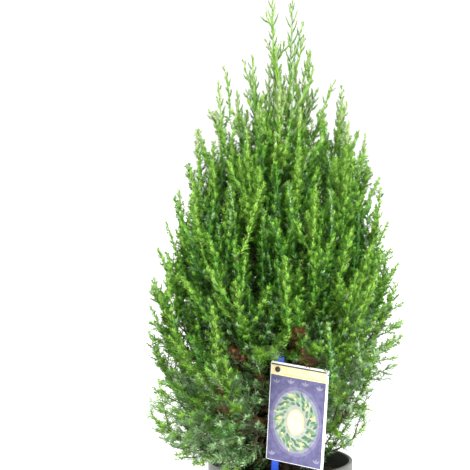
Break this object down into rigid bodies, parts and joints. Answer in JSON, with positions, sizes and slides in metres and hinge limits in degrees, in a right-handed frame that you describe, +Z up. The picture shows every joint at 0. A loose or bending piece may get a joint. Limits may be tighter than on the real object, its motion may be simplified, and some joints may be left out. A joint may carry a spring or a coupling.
{
  "type": "potted_upright_juniper",
  "caption": "Upright dwarf juniper shrub in a round plastic nursery pot, with a plant label on a stake; stands on the pot's flat underside as a decorative evergreen.",
  "frame": {"origin": "centre of the pot's flat underside, at the underside mount", "axes": "+Z up along the trunk, -Y to the front where the plant label stands, +X to the right seen from the front"},
  "size_m": [0.2967, 0.2921, 0.682],
  "materials": {
    "pot_plastic": "satin moulded",
    "potting_mix": "rough, dark, damp",
    "bark": "flaky brown bark",
    "needles": "waxy green needles",
    "label_card": "printed, glossy",
    "label_stake": "smooth moulded"
  },
  "bodies": {
    "root": {"bough_broad_1": "bark", "bough_broad_2": "bark", "bough_broad_3": "bark", "bough_broad_4": "bark", "bough_broad_5": "bark", "bough_broad_6": "bark", "bough_middle_1": "bark", "bough_middle_2": "bark", "bough_middle_3": "bark", "bough_middle_4": "bark", "bough_middle_5": "bark", "bough_middle_6": "bark", "bough_skirt_1": "bark", "bough_skirt_2": "bark", "bough_skirt_3": "bark", "bough_skirt_4": "bark", "bough_skirt_5": "bark", "foliage_broad_1": "needles", "foliage_broad_2": "needles", "foliage_broad_3": "needles", "foliage_broad_4": "needles", "foliage_broad_5": "needles", "foliage_broad_6": "needles", "foliage_hem_1": "needles", "foliage_hem_2": "needles", "foliage_hem_3": "needles", "foliage_hem_4": "needles", "foliage_high_1": "needles", "foliage_high_2": "needles", "foliage_high_3": "needles", "foliage_high_4": "needles", "foliage_high_5": "needles", "foliage_high_6": "needles", "foliage_leader_left": "needles", "foliage_leader_right": "needles", "foliage_middle_1": "needles", "foliage_middle_2": "needles", "foliage_middle_3": "needles", "foliage_middle_4": "needles", "foliage_middle_5": "needles", "foliage_middle_6": "needles", "foliage_shoulder_1": "needles", "foliage_shoulder_2": "needles", "foliage_shoulder_3": "needles", "foliage_shoulder_4": "needles", "foliage_shoulder_5": "needles", "foliage_skirt_1": "needles", "foliage_skirt_2": "needles", "foliage_skirt_3": "needles", "foliage_skirt_4": "needles", "foliage_skirt_5": "needles", "foliage_upper_1": "needles", "foliage_upper_2": "needles", "foliage_upper_3": "needles", "foliage_upper_4": "needles", "label_card": "label_card", "label_stake": "label_stake", "pot": "pot_plastic", "soil": "potting_mix", "trunk": "bark"}
  },
  "joints": []
}
